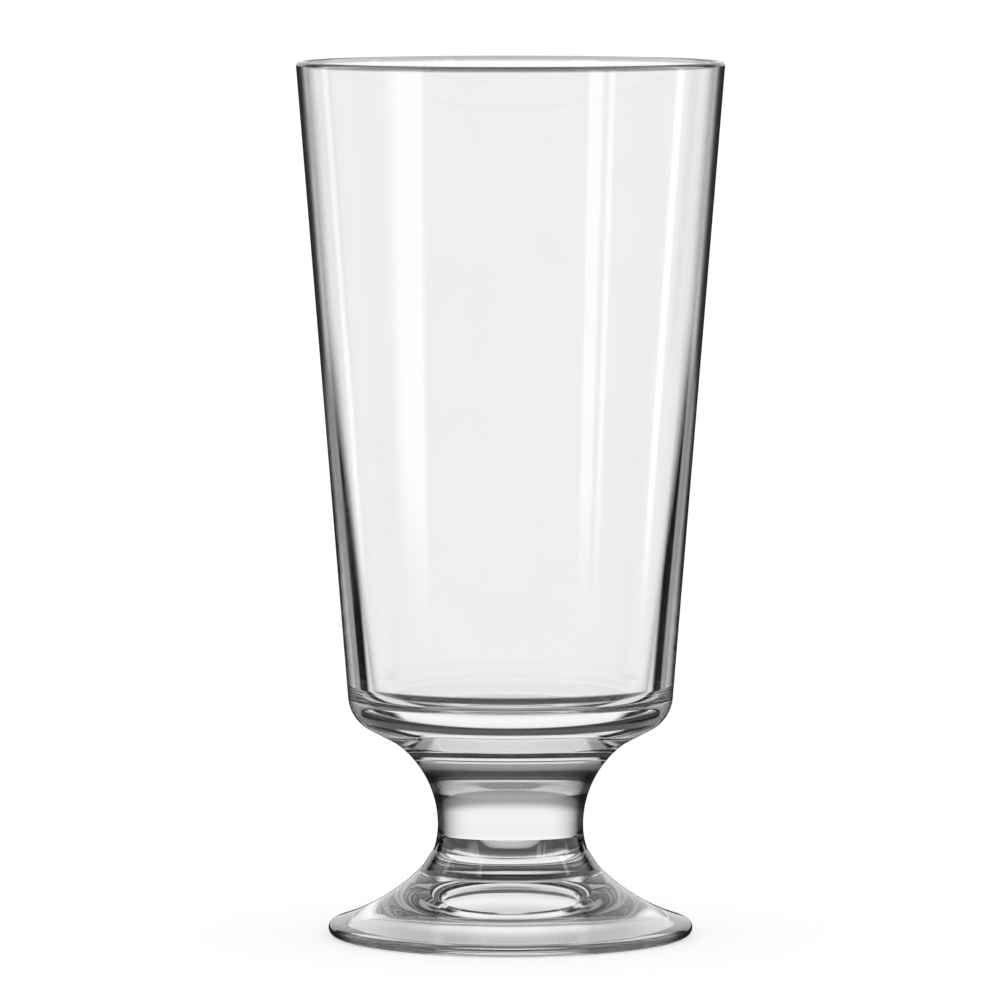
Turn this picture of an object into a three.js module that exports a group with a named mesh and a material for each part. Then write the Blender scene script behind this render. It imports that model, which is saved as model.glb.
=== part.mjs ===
// A footed highball glass: a drinking bowl, a solid stem and a flared foot, fused in line.
// Millimetres, +Z up. The origin is on the glass's axis, in the plane it stands on.
import * as THREE from "three";

// Heights, stacked from the table up
const FOOT_HEIGHT = 14.7; // table to the weld between foot and stem
const STEM_HEIGHT = 18.6; // weld to weld
const BOWL_HEIGHT = 116.7; // weld between stem and bowl to the rim

// Welds, shared by the two pieces that are fused there
const FOOT_WELD_DIAMETER = 26.4;
const BOWL_WELD_DIAMETER = 40;

// Foot
const FOOT_DIAMETER = 62.6;
const FOOT_EDGE = 2.4; // thickness of the full-round edge
const FLARE_SLOPE = 17; // degrees above the table where the flare leaves the edge
const COLLAR_DIAMETER = 30.4; // at the crease between flare and collar
const COLLAR_HEIGHT = 3.1; // crease to the weld
const RING_WIDTH = 2.1; // flat ring that stands on the table, inside the edge
const HOLLOW_DEPTH = 7.5; // dome under the foot, inside the ring

// Stem
const STEM_DIAMETER = 25; // at the waist
const WAIST_HEIGHT = 4.2; // weld between foot and stem to the waist

// Bowl, outside
const RIM_DIAMETER = 73.4;
const HEEL_DIAMETER = 55.2; // where the wall and the underside would meet without a rounding
const HEEL_HEIGHT = 4; // that corner above the weld
const HEEL_RADIUS = 6.5;

// Bowl, inside
const RIM_WALL = 1.5; // wall thickness from the rim to where it starts to grow
const HEEL_WALL = 4.3; // wall thickness level with the floor
const FLOOR_THICKNESS = 7.1; // weld to the floor of the bowl
const FLOOR_RADIUS = 3.5; // rounding between floor and wall
const GROWTH_HEIGHT = 52.4; // floor to where the wall starts to grow
const GROWTH_RADIUS = 600; // slow bend of the inner wall there

// Fineness of the meshes
const SEGMENTS_ROUND = 64;
const ARC_STEP = THREE.MathUtils.degToRad(10);

// Headings in the profile plane, anticlockwise from outwards
const OUT = 0;
const UP = Math.PI / 2;
const DOWN = -Math.PI / 2;

// A profile runs anticlockwise in radius and height: out along the underside, up the outside, back to the axis.
const at = (radius, height) => new THREE.Vector2(radius, height);
const heading = (from, to) => Math.atan2(to.y - from.y, to.x - from.x);

// Arc that leaves the start in one heading and runs to the end: its points after the start.
function arcFrom(start, leaving, end) {
  const chord = end.clone().sub(start);
  const angle = chord.angle() - leaving;
  const half = Math.atan2(Math.sin(angle), Math.cos(angle));
  const steps = Math.max(3, Math.ceil(Math.abs(2 * half) / ARC_STEP));
  const points = [];
  for (let i = 1; i < steps; i++) {
    const turn = (half * i) / steps;
    const reach = (chord.length() * Math.sin(turn)) / Math.sin(half);
    const way = leaving + turn;
    points.push(at(start.x + reach * Math.cos(way), start.y + reach * Math.sin(way)));
  }
  points.push(end);
  return points;
}

// Rounding of a corner, kept within the two straight ways that meet there.
function rounded(before, corner, after, radius) {
  const back = before.clone().sub(corner);
  const on = after.clone().sub(corner);
  const half = back.angleTo(on) / 2;
  const room = 0.98 * Math.min(back.length(), on.length());
  const cut = Math.min(radius / Math.tan(half), room);
  const start = corner.clone().add(back.setLength(cut));
  const end = corner.clone().add(on.setLength(cut));
  return [start, ...arcFrom(start, heading(before, corner), end)];
}

// Levels and points that neighbouring pieces share
const stemLevel = FOOT_HEIGHT;
const bowlLevel = stemLevel + STEM_HEIGHT;
const rimLevel = bowlLevel + BOWL_HEIGHT;
const footWeld = at(FOOT_WELD_DIAMETER / 2, stemLevel);
const bowlWeld = at(BOWL_WELD_DIAMETER / 2, bowlLevel);

function footProfile() {
  const hollowTop = at(0, HOLLOW_DEPTH);
  const edgeRadius = FOOT_EDGE / 2;
  const edgeCentre = at(FOOT_DIAMETER / 2 - edgeRadius, edgeRadius);
  const edgeStart = at(edgeCentre.x, 0);
  const ring = at(edgeStart.x - RING_WIDTH, 0);
  const lift = THREE.MathUtils.degToRad(FLARE_SLOPE);
  const edgeEnd = at(
    edgeCentre.x + edgeRadius * Math.sin(lift),
    edgeCentre.y + edgeRadius * Math.cos(lift),
  );
  const crease = at(COLLAR_DIAMETER / 2, stemLevel - COLLAR_HEIGHT);
  return [
    hollowTop,
    ...arcFrom(hollowTop, OUT, ring),
    edgeStart,
    ...arcFrom(edgeStart, OUT, edgeEnd),
    ...arcFrom(edgeEnd, Math.PI - lift, crease),
    footWeld,
    at(0, stemLevel),
  ];
}

function stemProfile() {
  const waist = at(STEM_DIAMETER / 2, stemLevel + WAIST_HEIGHT);
  return [
    at(0, stemLevel),
    ...arcFrom(waist, DOWN, footWeld).reverse(),
    waist,
    ...arcFrom(waist, UP, bowlWeld),
    at(0, bowlLevel),
  ];
}

function bowlProfile() {
  const heel = at(HEEL_DIAMETER / 2, bowlLevel + HEEL_HEIGHT);
  const rimOutside = at(RIM_DIAMETER / 2, rimLevel);
  const rimInside = at(rimOutside.x - RIM_WALL, rimLevel);
  const outside = (level) =>
    THREE.MathUtils.mapLinear(level, heel.y, rimOutside.y, heel.x, rimOutside.x);
  const floorLevel = bowlLevel + FLOOR_THICKNESS;
  const growthLevel = floorLevel + GROWTH_HEIGHT;
  const growth = at(outside(growthLevel) - RIM_WALL, growthLevel);
  const floorCorner = at(outside(floorLevel) - HEEL_WALL, floorLevel);
  const floorCentre = at(0, floorLevel);
  const rimRounding = 0.48 * RIM_WALL; // nearly a full round
  return [
    at(0, bowlLevel),
    bowlWeld,
    ...rounded(bowlWeld, heel, rimOutside, HEEL_RADIUS),
    ...rounded(heel, rimOutside, rimInside, rimRounding),
    ...rounded(rimOutside, rimInside, growth, rimRounding),
    ...rounded(rimInside, growth, floorCorner, GROWTH_RADIUS),
    ...rounded(growth, floorCorner, floorCentre, FLOOR_RADIUS),
    floorCentre,
  ];
}

// One piece of glass turned about the axis, which is set upright along Z.
function turned(name, profile, tint) {
  const shape = new THREE.LatheGeometry(profile, SEGMENTS_ROUND).rotateX(Math.PI / 2);
  const glass = new THREE.MeshStandardMaterial({
    color: tint,
    roughness: 0.05,
    metalness: 0,
    transparent: true,
    opacity: 0.4,
  });
  const mesh = new THREE.Mesh(shape, glass);
  mesh.name = name;
  return mesh;
}

const glass = new THREE.Group();
glass.name = "highball_glass";
glass.add(turned("foot", footProfile(), 0xd3dedd));
glass.add(turned("stem", stemProfile(), 0xdbe5e4));
glass.add(turned("bowl", bowlProfile(), 0xe6eeed));

export default glass;
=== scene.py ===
"""A footed highball glass of clear glass: foot, stem and bowl, fused in line, on a white floor."""

import math

import bmesh
import bpy
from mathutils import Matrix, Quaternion, Vector


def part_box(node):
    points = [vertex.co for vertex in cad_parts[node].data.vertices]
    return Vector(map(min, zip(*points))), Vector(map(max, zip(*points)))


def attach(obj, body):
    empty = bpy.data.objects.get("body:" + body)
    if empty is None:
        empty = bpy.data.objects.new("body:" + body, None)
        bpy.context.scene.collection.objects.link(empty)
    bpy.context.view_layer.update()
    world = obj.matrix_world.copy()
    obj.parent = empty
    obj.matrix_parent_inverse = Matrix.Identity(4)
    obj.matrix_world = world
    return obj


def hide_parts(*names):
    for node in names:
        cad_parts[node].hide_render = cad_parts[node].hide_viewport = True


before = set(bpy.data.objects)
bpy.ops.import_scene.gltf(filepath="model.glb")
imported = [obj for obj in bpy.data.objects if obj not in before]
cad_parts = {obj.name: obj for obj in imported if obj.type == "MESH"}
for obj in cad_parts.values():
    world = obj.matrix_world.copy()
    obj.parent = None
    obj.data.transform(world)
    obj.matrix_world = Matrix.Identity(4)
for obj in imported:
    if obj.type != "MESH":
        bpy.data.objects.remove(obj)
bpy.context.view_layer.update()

# Places that the frame gives, in metres
STEM_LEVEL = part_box("stem")[0].z
BOWL_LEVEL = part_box("bowl")[0].z
RIM_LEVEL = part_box("bowl")[1].z
FOOT_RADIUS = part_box("foot")[1].x
BOWL_WELD_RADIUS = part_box("stem")[1].x  # where the stem is widest

# Sizes that the frame's boxes don't show, in metres and degrees
RIM_RADIUS = 0.0367
FOOT_WELD_RADIUS = 0.0132
FOOT_EDGE = 0.0024  # thickness of the full-round edge
FLARE_SLOPE = 17  # above the table, where the flare leaves the edge
COLLAR_RADIUS = 0.0152  # at the crease between flare and collar
COLLAR_HEIGHT = 0.0031  # crease to the weld
RING_WIDTH = 0.0021  # flat ring that stands on the table
HOLLOW_DEPTH = 0.0075  # dome under the foot, inside the ring
WAIST_RADIUS = 0.0125
WAIST_HEIGHT = 0.0042  # above the weld to the foot
HEEL_RADIUS = 0.0276  # where wall and underside would meet without a rounding
HEEL_HEIGHT = 0.004  # that corner above the weld to the stem
HEEL_ROUNDING = 0.0065
RIM_WALL = 0.0015  # thickness from the rim to where the wall starts to grow
HEEL_WALL = 0.0043  # thickness level with the floor
FLOOR_THICKNESS = 0.0071  # weld to the bowl's floor
FLOOR_ROUNDING = 0.0035  # between floor and wall
GROWTH_HEIGHT = 0.0524  # floor to where the wall starts to grow
GROWTH_ROUNDING = 0.6  # slow bend of the inner wall there
LIP_ROUNDING = 0.48 * RIM_WALL  # nearly a full round

# Levels that follow from them
CREASE_LEVEL = STEM_LEVEL - COLLAR_HEIGHT
HEEL_LEVEL = BOWL_LEVEL + HEEL_HEIGHT
FLOOR_LEVEL = BOWL_LEVEL + FLOOR_THICKNESS

# Middle of the bowl's thin wall, carried down to the table: its slope, and its radius there
WALL_SLOPE = (RIM_RADIUS - HEEL_RADIUS) / (RIM_LEVEL - HEEL_LEVEL)
WALL_AT_TABLE = RIM_RADIUS - RIM_WALL / 2 - WALL_SLOPE * RIM_LEVEL

# Fineness of the meshes
SEGMENTS_ROUND = 256
ARC_STEP = math.radians(3)
FEWEST_STEPS = 3
SHARP_ANGLE = math.radians(12)
ON_AXIS = 1e-9
LEVEL_DIGITS = 7

# Headings in the profile plane, anticlockwise from outwards
OUT = 0.0
UP = math.pi / 2
DOWN = -math.pi / 2

# Glass: tints and painted shades as brightness of its colour, depths in metres, noises as a scale per metre
# and a detail
GLASS_IOR = 1.5
CLEARNESS = {"foot": 0.97, "stem": 0.94, "bowl": 0.97}  # its plain tint
STREAK_NOISE = (90, 3)
STREAK_SPREAD = 0.015
# Painted shade along the upright silhouette, where the glass is seen edge on
EDGE_PAINTED_SHADE = {"foot": 0.01, "stem": 0.005, "bowl": 0.12}
EDGE_FACING = {"foot": (0.4, 0.7), "stem": (0.15, 0.65), "bowl": (0.68, 0.88)}  # 0 square on, 1 edge on
EDGE_SLANT = (0.5, 0.8)  # where a normal's rise or fall is too much for an upright surface
# Painted shade in a band at the crease between flare and collar
CREASE_PAINTED_SHADE = 0.01
CREASE_DEPTH = 0.0007
# Painted shade in a band along the lip
LIP_PAINTED_SHADE = 0.5
LIP_DEPTH = 0.0011
# Painted shade on the lip and in the bowl's inner corner, darker still
CORNER_HEIGHT = 0.00245  # above the bowl's floor
CORNER_DEPTH = 0.0008
INTO_BOWL_PAINTED_SHADE = 0.02  # lip and corner, for light that leaves the glass into the bowl
POLISH = 0.02  # roughness between the smudges
SMUDGES = {"foot": 0.1, "stem": 0.06, "bowl": 0.08}  # their roughness
SMUDGE_NOISE = (45, 4)
SMUDGE_EDGE = (0.45, 0.75)
WAVES = {"foot": 0.00012, "stem": 0.00002, "bowl": 0.00001}  # their depth
WAVE_NOISE = (70, 1)

# Floor, in metres
FLOOR_HALF = 30.0
FLOOR_GAP = 0.00005  # under the foot
FLOOR_COLOUR = (0.8, 0.8, 0.8, 1)
FLOOR_LIFT = 0.42  # to white, for the camera
WHITE = (1, 1, 1, 1)

# Studio that the glass shows: levels from 0 black to 1 white, and changes as start, end and next level
AMBIENT = 0.8  # what the world lights the floor with
FLAG = 0.005  # dark panels behind the glass, to both sides

# Its floor and its flags by the turn, in degrees to either side of straight behind the glass
FLOOR_NEAR = 0.85, (22, 26, 0.45), (34, 38, FLAG), (48, 54, 0.85), (78, 90, 0.1)
FLOOR_FAR = 0.12, (20, 32, 0.85), (78, 90, 0.1)
FLAG_TURN = 0.0, (30, 36, 1.0), (48, 54, 0.0)

# Its floor by the reach, in metres from the axis, with a painted shadow under the foot
FLOOR_FAR_REACH = (0.5, 0.9)
BEYOND_FOOT_REACH = (0.029, 0.036)
PAINTED_FOOT_SHADOW = 0.95, (0.008, 0.024, 0.55)

# Its sky and its flags by the height, as the sine of the elevation
SKY = 1.0, (0.09, 0.29, 0.4), (0.3, 0.75, 0.22)
OVERHEAD_HEIGHT = (0.45, 0.7)
FLAG_HEIGHT = 1.0, (0.3, 0.45, 0.0)

# Its levels where the glass has mirrored it, with a painted shadow under the foot
PAINTED_FOOT_SHADOW_MIRRORED = 0.03
PAINTED_FOOT_SHADOW_MUCH_BENT = 0.35
FLOOR_MUCH_BENT = 0.9
FLOOR_OFTEN_MIRRORED = 0.02
FLOOR_OUTSIDE = 0.03  # mirrored by the outside of the glass
OVERHEAD = 0.3
OVERHEAD_MUCH_BENT = 0.75
SKY_OFTEN_MIRRORED = 0.4  # share of its level

# Counts of mirrorings and bends in the glass, above which they are many
FLOOR_MIRRORINGS = 2
FLOOR_BENDS = 2
SKY_MIRRORINGS = 3
SKY_BENDS = 3

# Light panels, in metres
BOX_DISTANCE = 0.15
BOX_HEIGHT = 0.2
BOX_RISE = (0.1, 0.3)  # to full strength, as shares of the height

# Camera, in metres, with lens and sensor in millimetres
CAMERA_DISTANCE = 1.440
CAMERA_LEVEL = 0.18898
CAMERA_AIM = Vector((-0.0018, 0, 0.07484))
LENS = 303.4
SENSOR = 36
CLIP_START = 0.01
GLASS_BOUNCES = 32
WELD_BOUNCES = 16


def at(radius, level):
    return Vector((radius, level))


def heading(start, end):
    return math.atan2(end.y - start.y, end.x - start.x)


def arc_from(start, leaving, end):
    """Points after the start of the arc that leaves it in one heading and runs to the end."""
    chord = end - start
    half = heading(start, end) - leaving
    half = math.atan2(math.sin(half), math.cos(half))
    steps = max(FEWEST_STEPS, math.ceil(abs(2 * half) / ARC_STEP))
    points = []
    for i in range(1, steps):
        turn = half * i / steps
        reach = chord.length * math.sin(turn) / math.sin(half)
        way = leaving + turn
        points.append(start + Vector((reach * math.cos(way), reach * math.sin(way))))
    return points + [end]


def rounded(before, corner, after, radius):
    """Rounding of a corner between two straight ways."""
    back = before - corner
    on = after - corner
    cut = radius / math.tan(back.angle(on) / 2)
    start = corner + back.normalized() * cut
    end = corner + on.normalized() * cut
    return [start] + arc_from(start, heading(before, corner), end)


# Profiles run anticlockwise in radius and level, and two of them share each of these points
foot_weld = at(FOOT_WELD_RADIUS, STEM_LEVEL)
bowl_weld = at(BOWL_WELD_RADIUS, BOWL_LEVEL)


def foot_profile():
    hollow_top = at(0, HOLLOW_DEPTH)
    edge = FOOT_EDGE / 2
    edge_start = at(FOOT_RADIUS - edge, 0)
    ring = at(edge_start.x - RING_WIDTH, 0)
    lift = math.radians(FLARE_SLOPE)
    edge_end = edge_start + Vector((edge * math.sin(lift), edge + edge * math.cos(lift)))
    crease = at(COLLAR_RADIUS, CREASE_LEVEL)
    return [
        hollow_top,
        *arc_from(hollow_top, OUT, ring),
        edge_start,
        *arc_from(edge_start, OUT, edge_end),
        *arc_from(edge_end, math.pi - lift, crease),
        foot_weld,
        at(0, STEM_LEVEL),
    ]


def stem_profile():
    waist = at(WAIST_RADIUS, STEM_LEVEL + WAIST_HEIGHT)
    return [
        at(0, STEM_LEVEL),
        *reversed(arc_from(waist, DOWN, foot_weld)),
        waist,
        *arc_from(waist, UP, bowl_weld),
        at(0, BOWL_LEVEL),
    ]


def bowl_profile():
    heel = at(HEEL_RADIUS, HEEL_LEVEL)
    rim_outside = at(RIM_RADIUS, RIM_LEVEL)
    rim_inside = at(RIM_RADIUS - RIM_WALL, RIM_LEVEL)

    def inside(level, wall):
        return at(heel.x + WALL_SLOPE * (level - heel.y) - wall, level)

    growth = inside(FLOOR_LEVEL + GROWTH_HEIGHT, RIM_WALL)
    corner = inside(FLOOR_LEVEL, HEEL_WALL)
    centre = at(0, FLOOR_LEVEL)
    return [
        at(0, BOWL_LEVEL),
        bowl_weld,
        *rounded(bowl_weld, heel, rim_outside, HEEL_ROUNDING),
        *rounded(heel, rim_outside, rim_inside, LIP_ROUNDING),
        *rounded(rim_outside, rim_inside, growth, LIP_ROUNDING),
        *rounded(rim_inside, growth, corner, GROWTH_ROUNDING),
        *rounded(growth, corner, centre, FLOOR_ROUNDING),
        centre,
    ]


def placed(name, data):
    """New object in the scene."""
    thing = bpy.data.objects.new(name, data)
    bpy.context.scene.collection.objects.link(thing)
    return thing


def turned(name, profile, weld_levels):
    """Closed mesh of a profile turned about Z. Faces in a weld's plane take the second material."""
    mesh = bpy.data.meshes.new(name)
    bm = bmesh.new()
    rings = []
    for point in profile:
        if point.x < ON_AXIS:
            rings.append([bm.verts.new((0, 0, point.y))])
            continue
        ring = []
        for i in range(SEGMENTS_ROUND):
            angle = 2 * math.pi * i / SEGMENTS_ROUND
            ring.append(bm.verts.new((point.x * math.cos(angle), point.x * math.sin(angle), point.y)))
        rings.append(ring)
    for low, high in zip(rings, rings[1:]):
        for i in range(SEGMENTS_ROUND):
            j = (i + 1) % SEGMENTS_ROUND
            corners = [low[i % len(low)], low[j % len(low)], high[j % len(high)], high[i % len(high)]]
            face = bm.faces.new(list(dict.fromkeys(corners)))
            levels = {round(v.co.z, LEVEL_DIGITS) for v in face.verts}
            face.material_index = int(len(levels) == 1 and levels <= weld_levels)
            face.smooth = True
    bm.to_mesh(mesh)
    bm.free()
    mesh.set_sharp_from_angle(angle=SHARP_ANGLE)
    return placed(name, mesh)


class Graph:
    """Nodes of a material, a world or a lamp. A value is a number or another node's output."""

    def __init__(self, owner):
        owner.use_nodes = True
        self.nodes = owner.node_tree.nodes
        self.links = owner.node_tree.links

    def set(self, socket, value):
        if isinstance(value, bpy.types.NodeSocket):
            self.links.new(value, socket)
        else:
            socket.default_value = value

    def math(self, operation, *values):
        node = self.nodes.new("ShaderNodeMath")
        node.operation = operation
        for socket, value in zip(node.inputs, values):
            self.set(socket, value)
        return node.outputs[0]

    def times(self, one, other):
        return self.math("MULTIPLY", one, other)

    def over(self, count, limit):
        """1 where a whole count is over the limit, otherwise 0."""
        return self.math("GREATER_THAN", count, limit + 0.5)

    def mix(self, factor, low, high):
        node = self.nodes.new("ShaderNodeMix")
        self.set(node.inputs["Factor"], factor)
        self.set(node.inputs["A"], low)
        self.set(node.inputs["B"], high)
        return node.outputs["Result"]

    def rise(self, value, start, end):
        """0 below the start, 1 above the end, smooth between."""
        node = self.nodes.new("ShaderNodeMapRange")
        node.interpolation_type = "SMOOTHSTEP"
        self.set(node.inputs["Value"], value)
        node.inputs["From Min"].default_value = start
        node.inputs["From Max"].default_value = end
        return node.outputs["Result"]

    def near(self, value, middle, reach):
        """1 near the middle, 0 beyond the reach on both sides."""
        distance = self.math("ABSOLUTE", self.math("SUBTRACT", value, middle))
        return self.math("SUBTRACT", 1.0, self.rise(distance, reach / 2, reach))

    def steps(self, value, first, *changes):
        """A level that changes to each next one between a start and an end of the value."""
        level = first
        for start, end, then in changes:
            level = self.mix(self.rise(value, start, end), level, then)
        return level

    def split(self, vector):
        node = self.nodes.new("ShaderNodeSeparateXYZ")
        self.set(node.inputs["Vector"], vector)
        return node.outputs["X"], node.outputs["Y"], node.outputs["Z"]

    def length(self, x, y):
        return self.math("SQRT", self.math("ADD", self.times(x, x), self.times(y, y)))

    def turn(self, across, back):
        """Degrees to either side of straight behind the glass."""
        return self.math("DEGREES", self.math("ARCTAN2", self.math("ABSOLUTE", across), back))

    def noise(self, place, scale, detail):
        node = self.nodes.new("ShaderNodeTexNoise")
        self.set(node.inputs["Vector"], place)
        node.inputs["Scale"].default_value = scale
        node.inputs["Detail"].default_value = detail
        return node.outputs["Fac"]


def glass_material(name, node):
    """Clear pressed glass with faint streaks, waves and smudges of handling. Painted shade darkens it along
    its upright silhouette, the crease and the lip. The lip and the inner corner carry darker painted shade
    still, for light that leaves the glass into the bowl."""
    material = bpy.data.materials.new(name)
    graph = Graph(material)
    place = graph.nodes.new("ShaderNodeTexCoord").outputs["Object"]
    across, back, level = graph.split(place)
    surface = graph.nodes.new("ShaderNodeNewGeometry")
    shader = graph.nodes["Principled BSDF"]
    shader.inputs["IOR"].default_value = GLASS_IOR
    shader.inputs["Transmission Weight"].default_value = 1.0

    clear = CLEARNESS[node]
    tint_and_painted_shade = graph.mix(graph.noise(place, *STREAK_NOISE), clear - STREAK_SPREAD, clear + STREAK_SPREAD)

    # Painted shade: darker along the upright silhouette, by how edge-on the glass is seen. The plain tint and
    # streaks before this are the glass's own colour
    facing = graph.nodes.new("ShaderNodeLayerWeight").outputs["Facing"]
    _, _, slant = graph.split(surface.outputs["Normal"])
    upright = graph.math("SUBTRACT", 1.0, graph.rise(graph.math("ABSOLUTE", slant), *EDGE_SLANT))
    edge = graph.times(upright, graph.rise(facing, *EDGE_FACING[node]))
    tint_and_painted_shade = graph.mix(edge, tint_and_painted_shade, EDGE_PAINTED_SHADE[node])

    # Painted shade in bands at the crease and at the lip
    tint_and_painted_shade = graph.mix(graph.near(level, CREASE_LEVEL, CREASE_DEPTH), tint_and_painted_shade, CREASE_PAINTED_SHADE)
    lip = graph.near(level, RIM_LEVEL, LIP_DEPTH)
    tint_and_painted_shade = graph.mix(lip, tint_and_painted_shade, LIP_PAINTED_SHADE)

    # Painted shade, darker still, on the lip and the inner corner, where light leaves the glass into the bowl
    wall_middle = graph.math("MULTIPLY_ADD", level, WALL_SLOPE, WALL_AT_TABLE)
    inner = graph.math("LESS_THAN", graph.length(across, back), wall_middle)
    into_bowl = graph.times(inner, surface.outputs["Backfacing"])
    corner = graph.near(level, FLOOR_LEVEL + CORNER_HEIGHT, CORNER_DEPTH)
    tint_and_painted_shade = graph.mix(graph.times(into_bowl, graph.math("MAXIMUM", lip, corner)), tint_and_painted_shade, INTO_BOWL_PAINTED_SHADE)
    graph.set(shader.inputs["Base Color"], tint_and_painted_shade)

    smudged = graph.rise(graph.noise(place, *SMUDGE_NOISE), *SMUDGE_EDGE)
    graph.set(shader.inputs["Roughness"], graph.mix(smudged, POLISH, SMUDGES[node]))

    bump = graph.nodes.new("ShaderNodeBump")
    bump.inputs["Distance"].default_value = WAVES[node]
    graph.set(bump.inputs["Height"], graph.noise(place, *WAVE_NOISE))
    graph.set(shader.inputs["Normal"], bump.outputs["Normal"])
    return material


def weld_material():
    """Fully clear, so that light passes straight from piece to piece, as it does in fused glass."""
    material = bpy.data.materials.new("weld")
    graph = Graph(material)
    graph.nodes.remove(graph.nodes["Principled BSDF"])
    clear = graph.nodes.new("ShaderNodeBsdfTransparent")
    graph.set(graph.nodes["Material Output"].inputs["Surface"], clear.outputs["BSDF"])
    return material


def floor_material():
    """Pale and matt, with the glass's shadow. The glass shows it white where it is looked straight through,
    but for a painted shadow under the foot. Where the glass has mirrored it, it is the floor of a studio with
    dark flags behind the glass, bright walls beside them and a dark room in front, and the painted shadow
    under the foot."""
    material = bpy.data.materials.new("floor")
    graph = Graph(material)
    path = graph.nodes.new("ShaderNodeLightPath")
    mirrorings = path.outputs["Glossy Depth"]
    bends = path.outputs["Transmission Depth"]
    across, back, _ = graph.split(graph.nodes.new("ShaderNodeNewGeometry").outputs["Position"])
    reach = graph.length(across, back)
    turn = graph.turn(across, back)
    beyond_foot = graph.rise(reach, *BEYOND_FOOT_REACH)

    # Painted shadow under the foot, a soft darker ring, where the glass is looked straight through
    straight = graph.mix(beyond_foot, graph.steps(reach, *PAINTED_FOOT_SHADOW), 1.0)

    near = graph.steps(turn, *FLOOR_NEAR)
    far = graph.steps(turn, *FLOOR_FAR)
    beside = graph.mix(graph.rise(reach, *FLOOR_FAR_REACH), near, far)
    beside = graph.mix(graph.over(mirrorings, FLOOR_MIRRORINGS), beside, FLOOR_OFTEN_MIRRORED)
    # Painted shadow under the foot, also where the glass has mirrored the floor
    little_bent = graph.mix(beyond_foot, PAINTED_FOOT_SHADOW_MIRRORED, beside)
    much_bent = graph.mix(beyond_foot, PAINTED_FOOT_SHADOW_MUCH_BENT, FLOOR_MUCH_BENT)
    inside = graph.mix(graph.over(bends, FLOOR_BENDS), little_bent, much_bent)
    mirrored = graph.mix(graph.over(bends, 0), FLOOR_OUTSIDE, inside)

    in_glass = graph.nodes.new("ShaderNodeEmission")
    graph.set(in_glass.inputs["Strength"], graph.mix(graph.over(mirrorings, 0), straight, mirrored))
    matt = graph.nodes["Principled BSDF"]
    matt.inputs["Base Color"].default_value = FLOOR_COLOUR
    matt.inputs["Roughness"].default_value = 1.0
    matt.inputs["Specular IOR Level"].default_value = 0.0
    matt.inputs["Emission Color"].default_value = WHITE
    graph.set(matt.inputs["Emission Strength"], graph.times(path.outputs["Is Camera Ray"], FLOOR_LIFT))

    through_glass = graph.over(graph.math("ADD", bends, mirrorings), 0)
    scattered = graph.over(path.outputs["Diffuse Depth"], 0)
    either = graph.nodes.new("ShaderNodeMixShader")
    graph.set(either.inputs["Fac"], graph.mix(scattered, through_glass, 0.0))
    graph.set(either.inputs[1], matt.outputs["BSDF"])
    graph.set(either.inputs[2], in_glass.outputs["Emission"])
    graph.set(graph.nodes["Material Output"].inputs["Surface"], either.outputs["Shader"])
    return material


def floor_plane():
    mesh = bpy.data.meshes.new("floor")
    bm = bmesh.new()
    bmesh.ops.create_grid(bm, x_segments=1, y_segments=1, size=FLOOR_HALF)
    bm.to_mesh(mesh)
    bm.free()
    mesh.materials.append(floor_material())
    plane = placed("floor", mesh)
    plane.location.z = -FLOOR_GAP
    return plane


def studio_world():
    """White for the camera. The glass shows it white near the floor and greyer with height, and with dark
    flags where the glass has mirrored it."""
    world = bpy.data.worlds.new("studio")
    graph = Graph(world)
    path = graph.nodes.new("ShaderNodeLightPath")
    mirrorings = path.outputs["Glossy Depth"]
    across, back, height = graph.split(graph.nodes.new("ShaderNodeTexCoord").outputs["Generated"])

    much_bent = graph.over(path.outputs["Transmission Depth"], SKY_BENDS)
    overhead = graph.mix(much_bent, OVERHEAD, OVERHEAD_MUCH_BENT)
    mirrored = graph.steps(height, 1.0, (*OVERHEAD_HEIGHT, overhead))
    turn = graph.turn(across, back)
    flag = graph.times(graph.steps(turn, *FLAG_TURN), graph.steps(height, *FLAG_HEIGHT))
    mirrored = graph.mix(flag, mirrored, FLAG)
    share = graph.mix(graph.over(mirrorings, SKY_MIRRORINGS), 1.0, SKY_OFTEN_MIRRORED)
    mirrored = graph.times(mirrored, share)

    in_glass = graph.mix(graph.over(mirrorings, 0), graph.steps(height, *SKY), mirrored)
    seen = graph.mix(path.outputs["Is Camera Ray"], in_glass, 1.0)
    scattered = graph.over(path.outputs["Diffuse Depth"], 0)
    background = graph.nodes["Background"]
    graph.set(background.inputs["Strength"], graph.mix(scattered, seen, AMBIENT))
    background.inputs["Color"].default_value = WHITE
    return world


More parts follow.
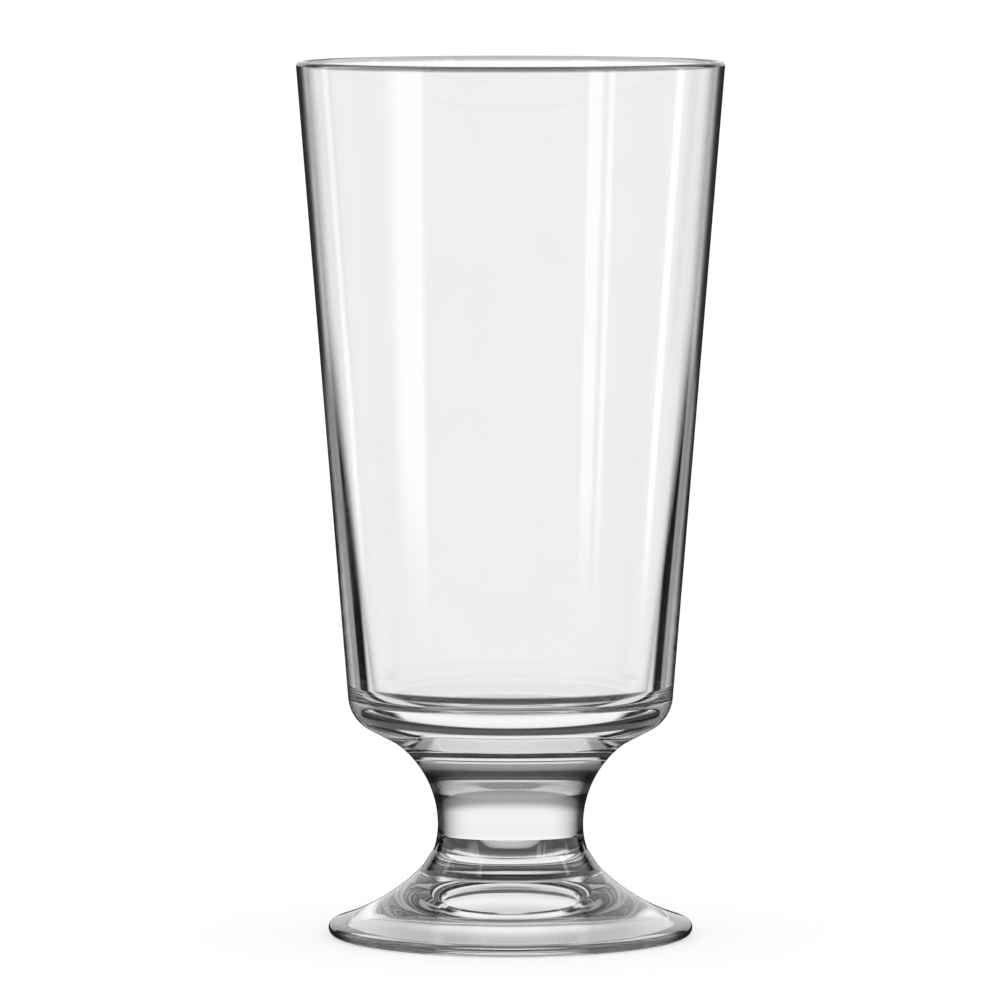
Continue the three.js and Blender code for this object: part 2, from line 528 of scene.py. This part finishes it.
def softbox(name, turn, lean, width, level, fade_in, fade_out):
    """Upright light panel that faces the axis, turned about it from the camera's side and leaning in its
    own plane, both in degrees. It fades in and out across its width and in from its foot. Only the outside of
    the glass mirrors it."""
    lamp = bpy.data.lights.new(name, "AREA")
    lamp.shape = "RECTANGLE"
    lamp.size = width
    lamp.size_y = BOX_HEIGHT
    lamp.energy = level * math.pi * width * BOX_HEIGHT  # watts that give the panel its level
    graph = Graph(lamp)
    across, up, _ = graph.split(graph.nodes.new("ShaderNodeNewGeometry").outputs["Parametric"])
    sides = graph.steps(across, 0.0, (0, fade_in, 1.0), (1 - fade_out, 1, 0.0))
    panel = graph.times(sides, graph.rise(up, *BOX_RISE))
    bends = graph.nodes.new("ShaderNodeLightPath").outputs["Transmission Depth"]
    graph.set(graph.nodes["Emission"].inputs["Strength"], graph.mix(graph.over(bends, 0), panel, 0.0))

    box = placed(name, lamp)
    angle = math.radians(turn)
    box.location = (BOX_DISTANCE * math.sin(angle), -BOX_DISTANCE * math.cos(angle), BOX_HEIGHT / 2)
    inwards = Vector((-box.location.x, -box.location.y, 0)).to_track_quat("-Z", "Y")
    box.rotation_euler = (inwards @ Quaternion((0, 0, 1), math.radians(-lean))).to_euler()
    box.visible_camera = False
    box.visible_diffuse = False
    box.visible_transmission = False


# The three pieces
weld = weld_material()
weld_levels = {round(STEM_LEVEL, LEVEL_DIGITS), round(BOWL_LEVEL, LEVEL_DIGITS)}
for node, profile in (("foot", foot_profile()), ("stem", stem_profile()), ("bowl", bowl_profile())):
    piece = turned(node + "_glass", profile, weld_levels)
    piece.data.materials.append(glass_material("clear_" + node, node))
    piece.data.materials.append(weld)
    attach(piece, "root")
    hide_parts(node)

# The stage
floor = floor_plane()
scene = bpy.context.scene
scene.world = studio_world()
softbox("left_box", turn=-56.5, lean=14, width=0.066, level=2.8, fade_in=0.45, fade_out=0.15)
softbox("right_box", turn=42.5, lean=-5.7, width=0.024, level=2.6, fade_in=0.2, fade_out=0.2)
softbox("right_line", turn=51, lean=-5.7, width=0.012, level=2.6, fade_in=0.3, fade_out=0.3)
softbox("left_strip", turn=-107, lean=0, width=0.024, level=1.7, fade_in=0.4, fade_out=0.4)
softbox("right_strip", turn=93.5, lean=0, width=0.024, level=2.8, fade_in=0.4, fade_out=0.4)

# The camera
lens = bpy.data.cameras.new("camera")
lens.sensor_width = SENSOR
lens.lens = LENS
lens.clip_start = CLIP_START
camera = placed("camera", lens)
camera.location = (0, -CAMERA_DISTANCE, CAMERA_LEVEL)
camera.rotation_euler = (CAMERA_AIM - camera.location).to_track_quat("-Z", "Y").to_euler()
scene.camera = camera
scene.view_settings.view_transform = "Standard"
scene.cycles.max_bounces = GLASS_BOUNCES
scene.cycles.transmission_bounces = GLASS_BOUNCES
scene.cycles.glossy_bounces = GLASS_BOUNCES
scene.cycles.transparent_max_bounces = WELD_BOUNCES
